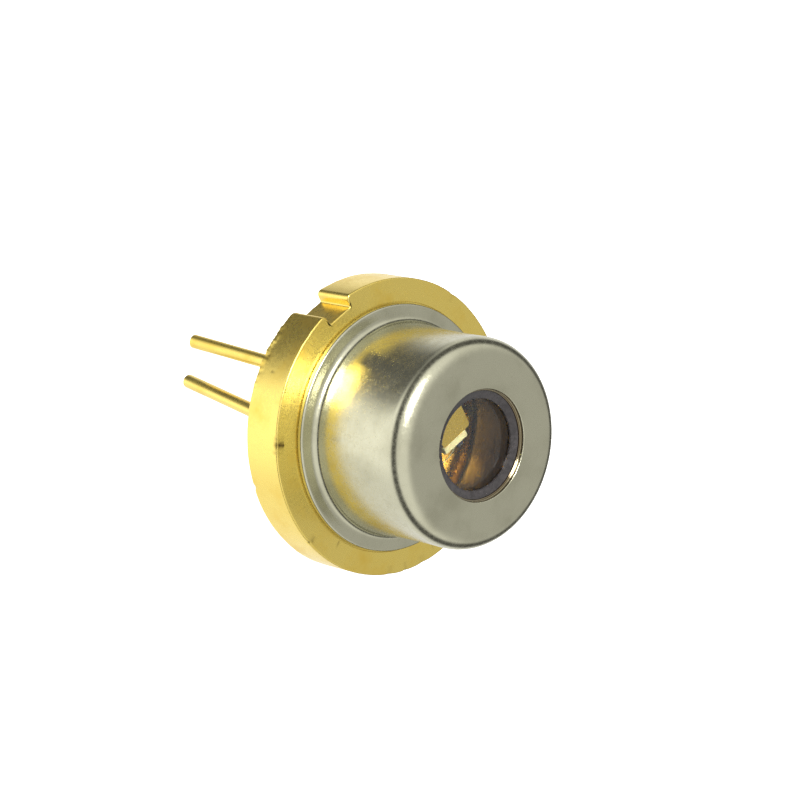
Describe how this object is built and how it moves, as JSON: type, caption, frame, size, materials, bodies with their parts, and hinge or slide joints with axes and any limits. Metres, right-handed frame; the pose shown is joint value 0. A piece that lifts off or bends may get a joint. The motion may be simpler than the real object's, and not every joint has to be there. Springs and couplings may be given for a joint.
{
  "type": "laser diode",
  "caption": "Laser diode in a metal can: a notched gold stem, glass-sealed leads and a drawn cap with a round window over the chip on its heat sink.",
  "frame": {"origin": "on the optical axis, in the plane of the stem's front face (the annular reference face outside the cap)", "axes": "+Z along the optical axis, the way the light leaves; +Y towards the rim notch; the leads leave the stem at +X (anode) and -X (cathode)"},
  "size_m": [0.009, 0.009, 0.014],
  "materials": {
    "stem_gold": "satin gold plating",
    "block_gold": "satin gold plating",
    "lead_gold": "polished gold plating",
    "cap_nickel": "satin nickel plating",
    "window": "polished, coated",
    "frit": "fused glass frit, satin",
    "seal": "fused dark glass",
    "submount_gold": "gold metallised ceramic",
    "chip": "cleaved semiconductor",
    "wire_gold": "drawn gold"
  },
  "bodies": {
    "root": {"stem": "stem_gold", "heat_sink_block": "block_gold", "submount": "submount_gold", "laser_chip": "chip", "lead_anode": "lead_gold", "lead_cathode": "lead_gold", "seal_anode": "seal", "seal_cathode": "seal", "cap": "cap_nickel", "window_glass": "window", "window_frit": "frit", "wire_anode": "wire_gold", "wire_cathode": "wire_gold"}
  },
  "joints": []
}
